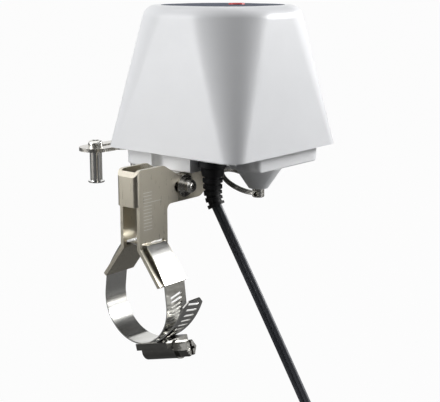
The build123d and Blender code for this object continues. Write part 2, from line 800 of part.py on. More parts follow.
# Gear train between the base and the gear plate
idler_distance = gear_module * (output_teeth + idler_small_teeth) / 2
pinion_distance = gear_module * (idler_large_teeth + pinion_teeth) / 2
idler_turn = math.radians(idler_direction)
idler_x = idler_distance * math.cos(idler_turn)
idler_y = idler_distance * math.sin(idler_turn)
motor_turn = math.radians(motor_direction)
motor_x = idler_x + pinion_distance * math.cos(motor_turn)
motor_y = idler_y + pinion_distance * math.sin(motor_turn)
output_gear_z = flange_top + gear_lift
idler_large_z = output_gear_z + gear_thickness + 1.0
plate_z = idler_large_z + idler_large_thickness + plate_gap
plate_half = plate_side / 2
pillar_places = [(pillar_inset - plate_half, plate_half - pillar_reach),
                 (2 * pillar_inset - plate_half, pillar_front - plate_half),
                 (plate_half - pillar_inset, pillar_reach - plate_half)]
half_turn = 180.0
motor_base = plate_z + plate_thickness


def involute(angle):
    return math.tan(angle) - angle


def gear_outline(teeth, first_tooth):
    """An involute gear with a tooth centred on the direction first_tooth, in degrees."""
    pitch = gear_module * teeth / 2
    base = pitch * math.cos(math.radians(pressure_angle))
    tip = pitch + 0.9 * gear_module
    root = pitch - 1.15 * gear_module
    half = math.pi / 2 / teeth - backlash / 2 / pitch + involute(math.radians(pressure_angle))
    lowest = max(base, root)
    flank = []
    for share in (0, 0.35, 0.7, 1):
        radius = lowest + (tip - lowest) * share
        flank.append((radius, half - involute(math.acos(min(1.0, base / radius)))))
    points = []
    for tooth in range(teeth):
        centre = math.radians(first_tooth) + 2 * math.pi * tooth / teeth
        side = [(root, half)] + flank if base > root else flank
        points += [(r * math.cos(centre - a), r * math.sin(centre - a)) for r, a in side]
        points += [(r * math.cos(centre + a), r * math.sin(centre + a)) for r, a in reversed(side)]
    Polygon(*points, align=None)


def gap_facing(teeth, direction):
    """The first tooth's direction when a gap faces the given direction."""
    return direction + half_turn / teeth


large_first = motor_direction
small_first = idler_direction + half_turn
pinion_first = gap_facing(pinion_teeth, motor_direction + half_turn)
output_first = gap_facing(output_teeth, idler_direction)

with BuildPart() as output_gear:
    with BuildSketch(body_plane(output_gear_z)):
        gear_outline(output_teeth, output_first)
    extrude(amount=gear_thickness)
    with BuildSketch(body_plane(output_gear_z - gear_hub)):
        Circle(shaft_diameter / 2 + 3)
    extrude(amount=gear_hub)
    with BuildSketch(body_plane(output_gear_z + gear_thickness)):
        with PolarLocations(gear_module * output_teeth / 2 * 0.62, 6):
            Circle(3.4)
    extrude(amount=-gear_thickness, mode=Mode.SUBTRACT)
    with BuildSketch(body_plane(output_gear_z - gear_hub)):
        Circle(shaft_diameter / 2)
    extrude(amount=gear_thickness + gear_hub, mode=Mode.SUBTRACT)
save(output_gear, "output_gear")

with BuildPart() as idler_gear:
    with BuildSketch(body_plane(output_gear_z, idler_x, idler_y)):
        gear_outline(idler_small_teeth, small_first)
    extrude(amount=idler_large_z - output_gear_z)
    with BuildSketch(body_plane(idler_large_z, idler_x, idler_y)):
        gear_outline(idler_large_teeth, large_first)
    extrude(amount=idler_large_thickness)
    with BuildSketch(body_plane(output_gear_z, idler_x, idler_y)):
        Circle(axle_diameter / 2 + running)
    extrude(amount=gear_thickness * 3, mode=Mode.SUBTRACT)
save(idler_gear, "idler_gear")

with BuildPart() as idler_axle:
    with BuildSketch(body_plane(flange_top, idler_x, idler_y)):
        Circle(axle_diameter / 2)
    extrude(amount=plate_z + plate_thickness - flange_top)
    with BuildSketch(body_plane(flange_top, idler_x, idler_y)):
        Circle(axle_diameter)
    extrude(amount=output_gear_z - flange_top - slip)
    with BuildSketch(body_plane(plate_z, idler_x, idler_y)):
        Circle(axle_diameter)
    extrude(amount=-(plate_z - idler_large_z - idler_large_thickness - slip))
save(idler_axle, "idler_axle")

with BuildPart() as motor_pinion:
    with BuildSketch(body_plane(idler_large_z, motor_x, motor_y)):
        gear_outline(pinion_teeth, pinion_first)
    extrude(amount=idler_large_thickness)
    with BuildSketch(body_plane(idler_large_z, motor_x, motor_y)):
        Circle(motor_shaft_diameter / 2)
    extrude(amount=idler_large_thickness, mode=Mode.SUBTRACT)
save(motor_pinion, "motor_pinion")

with BuildPart() as motor_shaft:
    with BuildSketch(body_plane(idler_large_z, motor_x, motor_y)):
        Circle(motor_shaft_diameter / 2)
    extrude(amount=motor_base + motor_length - motor_end / 2 - slip - idler_large_z)
save(motor_shaft, "motor_shaft")

with BuildPart() as motor_rotor:
    with BuildSketch(body_plane(motor_base + rotor_start, motor_x, motor_y)):
        Circle(rotor_diameter / 2)
        Circle(motor_shaft_diameter / 2, mode=Mode.SUBTRACT)
    extrude(amount=rotor_length)
save(motor_rotor, "motor_rotor")

with BuildPart() as drive_motor:
    with BuildSketch(body_plane(motor_base, motor_x, motor_y)):
        Circle(motor_diameter / 2)
    extrude(amount=motor_length)
    fillet(drive_motor.faces().sort_by(Axis.Z)[-1].edges(), 1.5)
    with BuildSketch(body_plane(motor_base, motor_x, motor_y)):
        Circle(motor_nose / 2)
    extrude(amount=-plate_thickness)
    with BuildSketch(body_plane(plate_z, motor_x, motor_y)):
        Circle(motor_shaft_diameter / 2 + running)
    extrude(amount=plate_thickness + motor_length - motor_end / 2, mode=Mode.SUBTRACT)
    with BuildSketch(body_plane(motor_base + motor_end, motor_x, motor_y)):
        Circle(rotor_diameter / 2 + 0.3)
    extrude(amount=motor_length - 2 * motor_end, mode=Mode.SUBTRACT)
save(drive_motor, "drive_motor")

with BuildPart() as gear_plate:
    with BuildSketch(body_plane(plate_z)):
        RectangleRounded(plate_side, plate_side, 12)
        Circle(journal_diameter / 2 + bush_wall, mode=Mode.SUBTRACT)
        with Locations((idler_x, idler_y)):
            Circle(axle_diameter / 2, mode=Mode.SUBTRACT)
        with Locations((motor_x, motor_y)):
            Circle(motor_nose / 2, mode=Mode.SUBTRACT)
        with Locations(*pillar_places):
            Circle(small_screw / 2 + 0.2, mode=Mode.SUBTRACT)
    extrude(amount=plate_thickness)
save(gear_plate, "gear_plate")

with BuildPart() as plate_pillars:
    for x, y in pillar_places:
        with BuildSketch(body_plane(flange_top, x, y)):
            Circle(pillar_diameter / 2)
            Circle(small_screw / 2, mode=Mode.SUBTRACT)
        extrude(amount=plate_z - flange_top)
save(plate_pillars, "plate_pillars")

plate_screws = joined([
    pan_screw(Plane(origin=(body_x + x, y, plate_z + plate_thickness), x_dir=(1, 0, 0), z_dir=(0, 0, 1)),
              small_screw, plate_thickness + 6, screw_head, screw_head_height)
    for x, y in pillar_places])
save(plate_screws, "plate_screws")

# Output shaft in its two bushes, turning the arm under the base
arm_top_z = recess_roof - arm_clearance
arm_z = arm_top_z - arm_thickness
bush_top = output_gear_z - gear_hub - slip

with BuildPart() as output_shaft:
    with BuildSketch(body_plane(arm_top_z)):
        Circle(shaft_diameter / 2)
    extrude(amount=output_gear_z + gear_thickness + 1 - arm_top_z)
    with BuildSketch(body_plane(output_gear_z + gear_thickness)):
        Circle(journal_diameter / 2)
    extrude(amount=plate_z + plate_thickness - output_gear_z - gear_thickness)
    with BuildSketch(body_plane(arm_top_z)):
        Circle(shaft_diameter / 2 - 1)
        with Locations((0, shaft_diameter - 1.5), (0, 1.5 - shaft_diameter)):
            Rectangle(shaft_diameter, shaft_diameter, mode=Mode.SUBTRACT)
    extrude(amount=-arm_thickness)
    with BuildSketch(body_plane(arm_z)):
        Circle(arm_screw_diameter / 2)
    extrude(amount=arm_screw_length, mode=Mode.SUBTRACT)
save(output_shaft, "output_shaft")

with BuildPart() as lower_bush:
    with BuildSketch(body_plane(recess_roof)):
        Circle(shaft_diameter / 2 + bush_wall)
        Circle(shaft_diameter / 2 + running, mode=Mode.SUBTRACT)
    extrude(amount=bush_top - recess_roof)
save(lower_bush, "lower_bush")

with BuildPart() as upper_bush:
    with BuildSketch(body_plane(plate_z)):
        Circle(journal_diameter / 2 + bush_wall)
        Circle(journal_diameter / 2 + running, mode=Mode.SUBTRACT)
    extrude(amount=plate_thickness)
save(upper_bush, "upper_bush")

with BuildPart() as drive_arm:
    with BuildSketch(body_plane(arm_z)) as arm_outline:
        Circle(arm_hub / 2)
        with Locations((0, head_reach / 2)):
            Rectangle(arm_width, head_reach)
        with Locations((0, head_reach)):
            SlotCenterToCenter(2 * head_half, 2 * head_radius)
        neck = arm_outline.vertices().filter_by_position(
            Axis.Y, head_reach - head_radius - 0.05, head_reach - head_radius + 0.05)
        fillet(neck.filter_by_position(Axis.X, -arm_width, arm_width), arm_neck)
        with Locations((-(post_slot_in + post_slot_out) / 2, head_reach),
                       ((post_slot_in + post_slot_out) / 2, head_reach)):
            SlotCenterToCenter(post_slot_out - post_slot_in, post_screw + 0.4, mode=Mode.SUBTRACT)
        with Locations((0, head_reach * 0.42)):
            SlotCenterToCenter(head_reach * 0.28, 6.0, rotation=90, mode=Mode.SUBTRACT)
        Circle(shaft_diameter / 2 - 1 + running, mode=Mode.SUBTRACT)
    extrude(amount=arm_thickness)
save(drive_arm, "drive_arm")

with BuildPart() as arm_screw:
    with BuildSketch(body_plane(arm_z)):
        Circle(arm_washer / 2)
    extrude(amount=-1.2)
    with BuildSketch(body_plane(arm_z - 1.2)):
        RegularPolygon(arm_screw_flats / 2, 6, major_radius=False)
    extrude(amount=-arm_screw_head)
    with BuildSketch(body_plane(arm_z)):
        Circle(arm_screw_diameter / 2)
    extrude(amount=arm_screw_length - 1)
save(arm_screw, "arm_screw")


def post(x):
    """A hollow post with a foot flange, hung from the arm by its screw."""
    with BuildPart() as pillar:
        with BuildSketch(body_plane(arm_z, x, head_reach)):
            Circle(post_diameter / 2)
        extrude(amount=-post_length)
        with BuildSketch(body_plane(arm_z - post_length, x, head_reach)):
            Circle(post_flange / 2)
        extrude(amount=1.0)
        fillet(pillar.faces().sort_by(Axis.Z)[0].edges(), 0.4)
        with BuildSketch(body_plane(arm_z, x, head_reach)):
            Circle(post_screw / 2)
        extrude(amount=-post_screw_depth, mode=Mode.SUBTRACT)
    return pillar


for name, x in (("left_post", left_post), ("right_post", right_post)):
    save(post(x), name)
    with BuildPart() as post_fixing:
        add(pan_screw(body_plane(arm_top_z, x, head_reach), post_screw,
                      arm_thickness + post_screw_depth - 1, post_screw_head, post_screw_height))
    save(post_fixing, name + "_screw")

# Clutch pin, its spring and retainer, and the pull ring through its eye
boss_bottom = base_bottom - boss_height
collar_top = flange_top - 0.1
collar_z = collar_top - collar_thickness
eye_z = boss_bottom - pin_reach / 2 - 0.1

with BuildPart() as pull_pin:
    with BuildSketch(body_plane(boss_bottom - pin_reach, clutch_x, clutch_y)):
        Circle(pin_diameter / 2)
    extrude(amount=collar_top - boss_bottom + pin_reach)
    chamfer(pull_pin.faces().sort_by(Axis.Z)[0].edges(), 0.4)
    with BuildSketch(body_plane(collar_z, clutch_x, clutch_y)):
        Circle(collar_diameter / 2)
    extrude(amount=collar_thickness)
    with BuildSketch(body_plane(collar_top, clutch_x, clutch_y)):
        Circle(stem_diameter / 2)
    extrude(amount=stem_length)
    ring_heading = math.radians(ring_turn)
    eye_plane = Plane(origin=(body_x + clutch_x, clutch_y, eye_z), x_dir=(0, 0, 1),
                      z_dir=(math.sin(ring_heading), -math.cos(ring_heading), 0))
    with BuildSketch(eye_plane):
        Circle(ring_eye / 2)
    extrude(amount=pin_diameter, both=True, mode=Mode.SUBTRACT)
save(pull_pin, "pull_pin")

with BuildPart() as clutch_retainer:
    with BuildSketch(body_plane(flange_top, clutch_x, clutch_y)):
        Circle(collar_diameter / 2 + 2)
        Circle(stem_diameter / 2 + running, mode=Mode.SUBTRACT)
    extrude(amount=1.5)
save(clutch_retainer, "clutch_retainer")

spring_bottom = boss_bottom + pocket_floor
spring_radius = (pin_diameter + collar_diameter) / 4
with BuildPart() as clutch_spring:
    with BuildSketch(body_plane(spring_bottom, clutch_x, clutch_y)):
        Circle(spring_radius + spring_wire / 2)
        Circle(spring_radius - spring_wire / 2, mode=Mode.SUBTRACT)
    extrude(amount=collar_z - spring_bottom)
save(clutch_spring, "clutch_spring")

ring_tilt = math.radians(ring_lift)
ring_out = (math.cos(ring_heading) * math.cos(ring_tilt), math.sin(ring_heading) * math.cos(ring_tilt),
            math.sin(ring_tilt))
ring_centre = tuple(start + (ring_radius + ring_settle) * part for start, part in
                    zip((body_x + clutch_x, clutch_y, eye_z), ring_out))
ring_across = (math.sin(ring_heading), -math.cos(ring_heading), 0)
ring_axis = Vector(*ring_out).cross(Vector(*ring_across))

with BuildPart() as pull_ring:
    ring_plane_at = Plane(origin=ring_centre, x_dir=ring_out, z_dir=ring_across)
    with BuildSketch(ring_plane_at):
        with Locations(*[(ring_radius, step * ring_strand_pitch) for step in (-1, 0, 1)]):
            Circle(ring_strand / 2)
    revolve(axis=Axis(ring_centre, ring_axis))
save(pull_ring, "pull_ring")
print("ring volume", pull_ring.part.volume)

# Cable gland: a ribbed boot that hangs in the notch and bends towards the lead
gland_seat = rim_z - notch_floor
lead_heading = math.radians(lead_direction)
bend_radius = gland_bent / math.radians(gland_bend)


def boot_plane(drop):
    """A plane across the boot at a distance down its middle line, facing along it."""
    straight = min(drop, gland_length - gland_bent)
    bent = (drop - straight) / bend_radius
    reach = bend_radius * (1 - math.cos(bent))
    height = gland_seat - straight - bend_radius * math.sin(bent)
    return Plane(origin=(gland_x + reach * math.cos(lead_heading), gland_y + reach * math.sin(lead_heading),
                         height),
                 x_dir=(math.sin(lead_heading), -math.cos(lead_heading), 0),
                 z_dir=(math.sin(bent) * math.cos(lead_heading), math.sin(bent) * math.sin(lead_heading),
                        -math.cos(bent)))


def boot_length(drop, length, radius):
    """A short round length of the boot between two cross-sections."""
    with BuildPart() as piece:
        with BuildSketch(boot_plane(drop)):
            Circle(radius)
        with BuildSketch(boot_plane(drop + length)):
            Circle(radius)
        loft()
    return piece.part


ribs_from = gland_flange_height + gland_neck_height
rib_step = (gland_length - ribs_from) / gland_ribs

with BuildPart() as cable_gland:
    with BuildSketch(Plane(origin=(gland_x, gland_y, 0), x_dir=(1, 0, 0), z_dir=(0, -1, 0))):
        with BuildLine():
            Polyline((0, flange_top + gland_nut_height), (gland_stub / 2, flange_top + gland_nut_height),
                     (gland_stub / 2, gland_seat), (gland_flange / 2, gland_seat),
                     (gland_flange / 2, gland_seat - gland_flange_height),
                     (gland_neck / 2 + 0.6, gland_seat - gland_flange_height - 1.0),
                     (gland_neck / 2, gland_seat - ribs_from), (0, gland_seat - ribs_from), close=True)
        make_face()
    revolve(axis=Axis((gland_x, gland_y, 0), (0, 0, 1)))
    for rib in range(gland_ribs):
        rim = gland_neck / 2 + (gland_tip - gland_neck) / 2 * rib / (gland_ribs - 1)
        add(boot_length(ribs_from + rib * rib_step, rib_step, rim - gland_groove))
        if rib:
            add(boot_length(ribs_from + (rib - 0.55) * rib_step, rib_step * 0.55, rim))
    end_rim = gland_tip / 2
    add(boot_length(gland_length - rib_step * 0.5, rib_step * 0.5, end_rim))
save(cable_gland, "cable_gland")

with BuildPart() as gland_nut:
    with BuildSketch(Plane.XY.offset(flange_top)):
        with Locations((gland_x, gland_y)):
            RegularPolygon(gland_stub / 2 + 2.5, 6, major_radius=False)
            Circle(gland_stub / 2, mode=Mode.SUBTRACT)
    extrude(amount=gland_nut_height - 0.5)
save(gland_nut, "gland_nut")

# Flat twin lead: its route lies in one upright plane and leaves along the boot
lead_start = boot_plane(gland_length)
lead_points = [tuple(lead_start.origin), tuple(lead_start.origin + lead_start.z_dir * lead_run),
               (gland_x + lead_end_reach * math.cos(lead_heading),
                gland_y + lead_end_reach * math.sin(lead_heading), lead_end_z)]
runs = [math.dist(a, b) for a, b in zip(lead_points, lead_points[1:])]
radii = []
for before, at, after, run_in, run_out in zip(lead_points, lead_points[1:], lead_points[2:], runs, runs[1:]):
    turn = (Vector(*at) - Vector(*before)).get_angle(Vector(*after) - Vector(*at))
    radii.append(0.45 * min(run_in, run_out) / math.tan(math.radians(turn / 2)))

with BuildPart() as power_lead:
    with BuildLine() as lead_path:
        FilletPolyline(*lead_points, radius=radii)
    with BuildSketch(lead_start) as lead_section:
        with Locations((0, lead_core_offset), (0, -lead_core_offset)):
            Circle(lead_core / 2)
    sweep()
save(power_lead, "power_lead")
lead_length = lead_path.wires()[0].length
print("lead radii", [round(radius, 1) for radius in radii], "length", round(lead_length, 1))
print("lead volume", round(power_lead.part.volume, 1), round(lead_section.sketch.area * lead_length, 1))

lead_end = Vector(*lead_points[-1])
lead_along = (lead_end - Vector(*lead_points[-2])).normalized()
socket_plane = Plane(origin=lead_end, x_dir=(math.sin(lead_heading), -math.cos(lead_heading), 0), z_dir=lead_along)

with BuildPart() as lead_socket:
    with BuildSketch(socket_plane) as socket_outline:
        Circle(socket_diameter * 0.36)
    with BuildSketch(socket_plane.offset(socket_length * 0.35)):
        Circle(socket_diameter / 2)
    loft()
    with BuildSketch(socket_plane.offset(socket_length * 0.35)):
        Circle(socket_diameter / 2)
    extrude(amount=socket_length * 0.65)
    with BuildSketch(socket_plane.offset(socket_length)):
        Circle(socket_bore / 2)
        Circle(socket_pin / 2, mode=Mode.SUBTRACT)
    extrude(amount=-socket_depth, mode=Mode.SUBTRACT)
save(lead_socket, "lead_socket")
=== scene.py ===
import bmesh
import bpy
import math
from mathutils import Matrix, Vector


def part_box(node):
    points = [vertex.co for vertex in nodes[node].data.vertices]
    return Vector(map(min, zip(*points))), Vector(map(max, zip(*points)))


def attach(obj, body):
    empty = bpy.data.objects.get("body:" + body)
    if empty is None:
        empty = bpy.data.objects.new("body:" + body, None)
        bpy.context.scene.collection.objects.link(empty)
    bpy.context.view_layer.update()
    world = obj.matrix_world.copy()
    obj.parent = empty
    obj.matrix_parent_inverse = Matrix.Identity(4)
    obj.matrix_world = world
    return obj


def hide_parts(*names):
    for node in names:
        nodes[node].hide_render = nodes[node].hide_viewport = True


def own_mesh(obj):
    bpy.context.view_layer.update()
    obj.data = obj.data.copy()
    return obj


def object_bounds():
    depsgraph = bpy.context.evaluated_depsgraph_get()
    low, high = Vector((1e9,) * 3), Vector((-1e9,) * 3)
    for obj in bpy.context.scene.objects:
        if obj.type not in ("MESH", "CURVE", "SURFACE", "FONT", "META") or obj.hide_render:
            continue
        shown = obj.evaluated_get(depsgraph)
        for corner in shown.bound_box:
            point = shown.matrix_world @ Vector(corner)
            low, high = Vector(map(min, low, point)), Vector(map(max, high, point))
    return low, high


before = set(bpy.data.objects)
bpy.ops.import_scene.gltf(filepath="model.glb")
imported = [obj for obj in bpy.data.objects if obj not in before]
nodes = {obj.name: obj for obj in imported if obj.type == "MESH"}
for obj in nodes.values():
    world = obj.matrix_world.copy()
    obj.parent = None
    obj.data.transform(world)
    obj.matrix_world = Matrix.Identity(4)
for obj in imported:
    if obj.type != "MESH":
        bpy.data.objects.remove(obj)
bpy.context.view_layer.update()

MM = 0.001
scene = bpy.context.scene
scene.view_settings.view_transform = "Standard"


# Camera at the photograph's angle
image_width = 440
focal_length = 1024.72  # in pixels of that width
sensor_width = 36
camera_place = (-0.3599, -0.3471, 0.1621)
azimuth = math.radians(-50.396)
elevation = math.radians(12.54)
back = Vector((math.cos(elevation) * math.sin(azimuth), -math.cos(elevation) * math.cos(azimuth),
               math.sin(elevation)))
right = Vector((math.cos(azimuth), math.sin(azimuth), 0))
up = back.cross(right)
camera_data = bpy.data.cameras.new("camera")
camera_data.sensor_width = sensor_width
camera_data.lens = focal_length / image_width * sensor_width
camera_data.clip_start = 0.01
camera_data.clip_end = 50
camera = bpy.data.objects.new("camera", camera_data)
scene.collection.objects.link(camera)
turn = Matrix((right, up, back)).transposed().to_4x4()
camera.matrix_world = Matrix.Translation(camera_place) @ turn
scene.camera = camera


# Small helpers
def put(name, mesh, body, material, smooth=True):
    """A new piece with that mesh, riding on a body."""
    piece = bpy.data.objects.new(name, mesh)
    scene.collection.objects.link(piece)
    mesh.materials.append(material)
    if smooth:
        mesh.polygons.foreach_set("use_smooth", [True] * len(mesh.polygons))
        mesh.set_sharp_from_angle(angle=math.radians(40))
    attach(piece, body)
    return piece


def mesh_of(name, points, faces):
    mesh = bpy.data.meshes.new(name)
    mesh.from_pydata([tuple(p) for p in points], [], faces)
    mesh.update()
    return mesh


def tube(name, path, profile, across):
    """A mesh that carries a closed profile along a path; across is the profile's second axis."""
    path = [Vector(p) for p in path]
    side = Vector(across)
    rings, count = len(path), len(profile)
    points = []
    for i, at in enumerate(path):
        along = (path[min(i + 1, rings - 1)] - path[max(i - 1, 0)]).normalized()
        first = side.cross(along).normalized()
        second = along.cross(first)
        points += [at + first * a + second * b for a, b in profile]
    faces = []
    for i in range(rings - 1):
        near, far = i * count, (i + 1) * count
        for k in range(count):
            m = (k + 1) % count
            faces.append((near + k, near + m, far + m, far + k))
    faces.append(tuple(reversed(range(count))))
    faces.append(tuple((rings - 1) * count + k for k in range(count)))
    return mesh_of(name, points, faces)


def circle(radius, count):
    return [(radius * math.cos(2 * math.pi * k / count), radius * math.sin(2 * math.pi * k / count))
            for k in range(count)]


# Materials. Noise lies mostly between these two values, and is spread from there
noise_low, noise_high = 0.3, 0.7


def new_material(name):
    material = bpy.data.materials.new(name)
    material.use_nodes = True
    tree = material.node_tree
    shader = tree.nodes["Principled BSDF"]
    return material, tree, shader


def noise(tree, scale, stretch=(1, 1, 1), detail=3.0):
    """Noise in object coordinates; scale is cells per metre."""
    where = tree.nodes.new("ShaderNodeTexCoord")
    mapping = tree.nodes.new("ShaderNodeMapping")
    mapping.inputs["Scale"].default_value = stretch
    texture = tree.nodes.new("ShaderNodeTexNoise")
    texture.inputs["Scale"].default_value = scale
    texture.inputs["Detail"].default_value = detail
    texture.inputs["Roughness"].default_value = 0.5
    tree.links.new(where.outputs["Object"], mapping.inputs["Vector"])
    tree.links.new(mapping.outputs["Vector"], texture.inputs["Vector"])
    return texture.outputs["Fac"]


def spread(tree, value, low, high):
    """The noise mapped to low..high."""
    node = tree.nodes.new("ShaderNodeMapRange")
    node.inputs["From Min"].default_value = noise_low
    node.inputs["From Max"].default_value = noise_high
    node.inputs["To Min"].default_value = low
    node.inputs["To Max"].default_value = high
    tree.links.new(value, node.inputs["Value"])
    return node.outputs["Result"]


def tint(tree, value, colour, vary):
    """The noise mapped to a colour; its dark end is the colour times vary."""
    node = tree.nodes.new("ShaderNodeValToRGB")
    dark, light = node.color_ramp.elements
    dark.position = noise_low
    light.position = noise_high
    dark.color = (*[c * vary for c in colour], 1)
    light.color = (*colour, 1)
    tree.links.new(value, node.inputs["Fac"])
    return node.outputs["Color"]


def bump(tree, shader, value, distance):
    node = tree.nodes.new("ShaderNodeBump")
    node.inputs["Strength"].default_value = 1.0
    node.inputs["Distance"].default_value = distance
    tree.links.new(value, node.inputs["Height"])
    tree.links.new(node.outputs["Normal"], shader.inputs["Normal"])


def plastic(name, colour, low, high, grain=2600, depth=0.00002, vary=0.97, shine=0.5):
    """Moulded plastic: a fine spark texture, faint clouding and uneven gloss."""
    material, tree, shader = new_material(name)
    shader.inputs["Specular IOR Level"].default_value = shine
    tree.links.new(tint(tree, noise(tree, 45), colour, vary), shader.inputs["Base Color"])
    tree.links.new(spread(tree, noise(tree, 300), low, high), shader.inputs["Roughness"])
    bump(tree, shader, noise(tree, grain, detail=2), depth)
    return material


def metal(name, colour, low, high, stretch=(1, 1, 1), grain=900, depth=0.00001, vary=0.88):
    """Metal with brushed or blasted grain; stretch shapes the grain."""
    material, tree, shader = new_material(name)
    shader.inputs["Metallic"].default_value = 1
    tree.links.new(tint(tree, noise(tree, 120, stretch), colour, vary), shader.inputs["Base Color"])
    tree.links.new(spread(tree, noise(tree, grain, stretch), low, high), shader.inputs["Roughness"])
    bump(tree, shader, noise(tree, grain, stretch, detail=4), depth)
    return material


white_shell = plastic("white_shell", (0.80, 0.81, 0.83), 0.3, 0.38)
white_base = plastic("white_base", (0.9, 0.91, 0.925), 0.34, 0.44)
panel_dark = plastic("panel_dark", (0.02, 0.03, 0.055), 0.5, 0.62, vary=0.9, shine=0.12)
button_red = plastic("button_red", (0.62, 0.03, 0.03), 0.18, 0.26)
rubber = plastic("rubber", (0.009, 0.009, 0.01), 0.42, 0.6, grain=1800, depth=0.00003, vary=0.7,
                 shine=0.25)
lead_skin = plastic("lead_skin", (0.075, 0.08, 0.093), 0.36, 0.44, grain=1500, depth=0.0000005, vary=0.8)
socket_skin = plastic("socket_skin", (0.014, 0.014, 0.015), 0.3, 0.42, vary=0.8)
nylon = plastic("nylon", (0.78, 0.75, 0.66), 0.35, 0.5, vary=0.94)
board_green = plastic("board_green", (0.01, 0.09, 0.035), 0.2, 0.32, vary=0.8)
chip_black = plastic("chip_black", (0.02, 0.02, 0.022), 0.4, 0.55)
sheet_steel = metal("sheet_steel", (0.64, 0.6, 0.505), 0.27, 0.32, stretch=(1, 1, 0.06), grain=1800,
                    depth=0.0000003, vary=0.95)
channel_steel = metal("channel_steel", (0.62, 0.6, 0.57), 0.22, 0.36, stretch=(0.06, 1, 1), grain=1800)
arm_steel = metal("arm_steel", (0.66, 0.64, 0.6), 0.2, 0.34, stretch=(1, 0.06, 1), grain=1800)
band_chrome = metal("band_chrome", (0.68, 0.675, 0.65), 0.15, 0.2, stretch=(0.08, 1, 1),
                    depth=0.0000005, vary=0.95)
post_chrome = metal("post_chrome", (0.8, 0.8, 0.79), 0.08, 0.13, stretch=(1, 1, 0.1),
                    depth=0.0000005, vary=0.95)
screw_steel = metal("screw_steel", (0.66, 0.65, 0.62), 0.16, 0.3, grain=1500)
# Steel for the worm housing and clamp screw, painted dark: a painted shade that stands in for the dark
# surroundings they reflect
shade_painted_steel = metal("shade_painted_steel", (0.26, 0.255, 0.24), 0.12, 0.22, grain=1500, depth=0.000004)
zinc = metal("zinc", (0.62, 0.63, 0.64), 0.22, 0.36, grain=1300)
can_metal = metal("can_metal", (0.6, 0.6, 0.6), 0.24, 0.36, grain=1000)
wire_steel = metal("wire_steel", (0.42, 0.41, 0.38), 0.14, 0.24, grain=1500, depth=0.000004)
bronze = metal("bronze", (0.5, 0.32, 0.15), 0.3, 0.45, grain=1500)
mark_light = metal("mark_light", (0.86, 0.85, 0.8), 0.3, 0.4, grain=2400)
iron = metal("iron", (0.2, 0.2, 0.21), 0.4, 0.55, stretch=(1, 1, 0.05), grain=1200)

finishes = {
    "top_cover": white_shell, "base_housing": white_base, "top_panel": panel_dark,
    "push_button": button_red, "cable_gland": rubber, "gland_nut": rubber, "cover_gasket": rubber,
    "lead_socket": socket_skin, "mounting_bracket": sheet_steel, "mounting_channel": channel_steel,
    "drive_arm": arm_steel, "clamp_band": band_chrome, "worm_housing": shade_painted_steel,
    "clamp_screw": shade_painted_steel, "bracket_bolt": screw_steel, "flat_washers": screw_steel,
    "spring_washer": screw_steel, "lock_nut": screw_steel, "left_post": post_chrome,
    "right_post": post_chrome, "left_post_screw": screw_steel, "right_post_screw": screw_steel,
    "pull_pin": screw_steel, "pull_ring": wire_steel, "arm_screw": zinc, "cover_screws": zinc,
    "channel_screws": zinc, "board_screws": zinc, "plate_screws": zinc, "idler_axle": zinc,
    "motor_shaft": zinc, "motor_rotor": iron, "output_shaft": screw_steel, "gear_plate": can_metal,
    "drive_motor": can_metal, "radio_module": can_metal, "output_gear": nylon, "idler_gear": nylon,
    "plate_pillars": nylon, "clutch_retainer": nylon, "motor_pinion": bronze, "lower_bush": bronze,
    "upper_bush": bronze, "control_board": board_green, "button_switch": chip_black,
    "clutch_spring": zinc, "power_lead": lead_skin,
}
for name, material in finishes.items():
    mesh = nodes[name].data
    mesh.materials.clear()
    mesh.materials.append(material)


# Power lead: flat twin on its own smooth line, from the boot's end. The route is reach and height in mm
lead_heading = math.radians(-75)
gland_x, gland_y = 32.0, -18.0
lead_route = [(2.236, 45.857), (54.345, -55.537), (64.5, -78)]
lead_points = [Vector((gland_x + reach * math.cos(lead_heading), gland_y + reach * math.sin(lead_heading),
                       z)) * MM for reach, z in lead_route]
line_data = bpy.data.curves.new("lead_line", "CURVE")
line_data.dimensions = "3D"
line_data.resolution_u = 16
spline = line_data.splines.new("NURBS")
spline.points.add(len(lead_points) - 1)
for point, at in zip(spline.points, lead_points):
    point.co = (*at, 1)
spline.order_u = 3
spline.use_endpoint_u = True
line = bpy.data.objects.new("lead_line", line_data)
scene.collection.objects.link(line)
bpy.context.view_layer.update()
sampled = bpy.data.meshes.new_from_object(line)
lead_path = [v.co.copy() for v in sampled.vertices]
bpy.data.objects.remove(line)

# Its outline: two round cores side by side, each left open where they join
core_radius, core_offset = 1.45 * MM, 1.35 * MM
core_steps, step_angle = 5, 31
twin = []
for side, start in ((1, 0), (-1, 180)):
    for k in range(-core_steps, core_steps + 1):
        angle = math.radians(start + k * step_angle)
        twin.append((side * core_offset + core_radius * math.cos(angle), core_radius * math.sin(angle)))
across = (math.sin(lead_heading), -math.cos(lead_heading), 0)
lead = put("supply_lead", tube("supply_lead", lead_path, twin, across), "actuator", lead_skin)
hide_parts("power_lead")

# Clutch spring: real coils in place of the plain sleeve, with a closed turn at each end
low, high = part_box("clutch_spring")
middle = (low + high) / 2
wire = 0.45 * MM
coil_radius = (high.x - low.x) / 2 - wire
turns, turn_steps, wire_sides = 7, 24, 8
coil = []
for k in range(turns * turn_steps + 1):
    turned = k / turn_steps
    rise = min(max((turned - 1) / (turns - 2), 0), 1)
    closed = min(turned, 1) + max(turned - turns + 1, 0)
    z = low.z + wire + rise * (high.z - low.z - 4 * wire) + closed * wire
    angle = 2 * math.pi * turned
    coil.append((middle.x + coil_radius * math.cos(angle), middle.y + coil_radius * math.sin(angle), z))
spring_mesh = tube("spring_coils", coil, circle(wire, wire_sides), (0, 0, 1))
spring = put("spring_coils", spring_mesh, "actuator", zinc)
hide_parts("clutch_spring")
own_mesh(spring)

